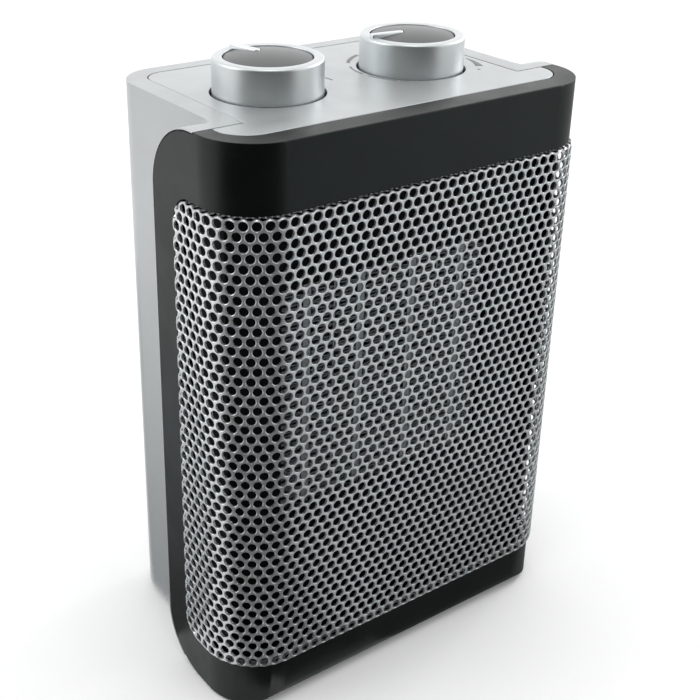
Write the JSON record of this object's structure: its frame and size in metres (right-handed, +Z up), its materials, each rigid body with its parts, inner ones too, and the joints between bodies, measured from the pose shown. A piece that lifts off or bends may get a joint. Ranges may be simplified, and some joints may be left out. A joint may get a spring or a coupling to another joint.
{
  "type": "ceramic space heater",
  "caption": "Upright ceramic fan heater with a wrap-round perforated front, silver rear shell, two dial knobs on top and a finned heating element",
  "frame": {"origin": "centre of the heater's bounding box at floor level, under the feet", "axes": "+Z up; -Y out of the perforated front; +X to the right of someone looking along +Y at the front"},
  "size_m": [0.1676, 0.105, 0.2444],
  "materials": {
    "bearing_bronze": "sintered bronze",
    "black_frame": "satin moulded black",
    "black_metal": "matt black heat-proof coat",
    "cap_grey": "spun satin grey",
    "ceramic": "fired ceramic, dull grey-brown",
    "cream_plastic": "cream thermoset",
    "dark_plastic": "fine-textured black",
    "element_aluminium": "plain mill finish",
    "fan_plastic": "moulded dark grey",
    "grille_metal": "perforated sheet, satin silver lacquer",
    "holder_plastic": "dark brown thermoset",
    "knob_silver": "bright silver plating",
    "plunger_plastic": "natural moulding",
    "rubber": "matt black",
    "silver_plate": "satin silver paint on a moulding",
    "silver_shell": "satin silver paint on a moulding",
    "terminal_brass": "stamped",
    "winding_copper": "enamelled copper and steel stack",
    "wire_cover": "silicone insulation",
    "zinc_steel": "bright zinc plate"
  },
  "bodies": {
    "heater": {"front_frame": "black_frame", "front_grille": "grille_metal", "rear_shell": "silver_shell", "top_plate": "silver_plate", "intake_grille": "dark_plastic", "base_plate": "dark_plastic", "front_feet": "rubber", "rear_feet": "rubber", "cord_gland": "rubber", "inner_baffle": "black_metal", "element_holder_top": "holder_plastic", "element_holder_bottom": "holder_plastic", "heating_bars": "element_aluminium", "ceramic_chips": "ceramic", "heating_fins": "element_aluminium", "fin_dividers": "element_aluminium", "element_terminals": "terminal_brass", "thermal_cutout": "cream_plastic", "thermal_fuse": "terminal_brass", "fan_shroud": "dark_plastic", "motor_can": "zinc_steel", "motor_magnets": "ceramic", "motor_end_cap": "dark_plastic", "motor_bearings": "bearing_bronze", "control_bracket": "zinc_steel", "selector_switch": "cream_plastic", "thermostat_body": "cream_plastic", "thermostat_blades": "bearing_bronze", "terminal_block": "cream_plastic", "tip_switch": "dark_plastic", "tip_spring": "zinc_steel", "internal_wiring": "wire_cover", "shell_screws": "zinc_steel", "base_screws": "zinc_steel", "baffle_screws": "zinc_steel", "shroud_screws": "zinc_steel", "motor_screws": "zinc_steel", "bracket_screws": "zinc_steel", "control_screws": "zinc_steel"},
    "fan": {"fan_impeller": "fan_plastic", "motor_shaft": "zinc_steel", "motor_rotor": "winding_copper"},
    "selector": {"selector_shaft": "zinc_steel", "selector_knob": "knob_silver", "selector_cap": "cap_grey"},
    "thermostat": {"thermostat_shaft": "zinc_steel", "thermostat_knob": "knob_silver", "thermostat_cap": "cap_grey"},
    "plunger": {"tip_plunger": "plunger_plastic"}
  },
  "joints": [
    {"name": "fan_spin", "type": "hinge", "parent": "heater", "child": "fan", "pos_m": [0, 0, 0.1196], "axis": [0, 1, 0], "continuous": true},
    {"name": "selector_turn", "type": "hinge", "parent": "heater", "child": "selector", "pos_m": [-0.0344, 0.00085, 0.23], "axis": [0, 0, 1], "range_deg": [-97, 0]},
    {"name": "thermostat_turn", "type": "hinge", "parent": "heater", "child": "thermostat", "pos_m": [0.0324, 0.00085, 0.23], "axis": [0, 0, 1], "range_deg": [-213, 52]},
    {"name": "tip_plunge", "type": "slide", "parent": "heater", "child": "plunger", "axis": [0, 0, -1], "range_m": [0, 0.0049], "stiffness_N_per_m": 60, "springref_m": 0.01, "deforming": ["tip_spring"]}
  ]
}
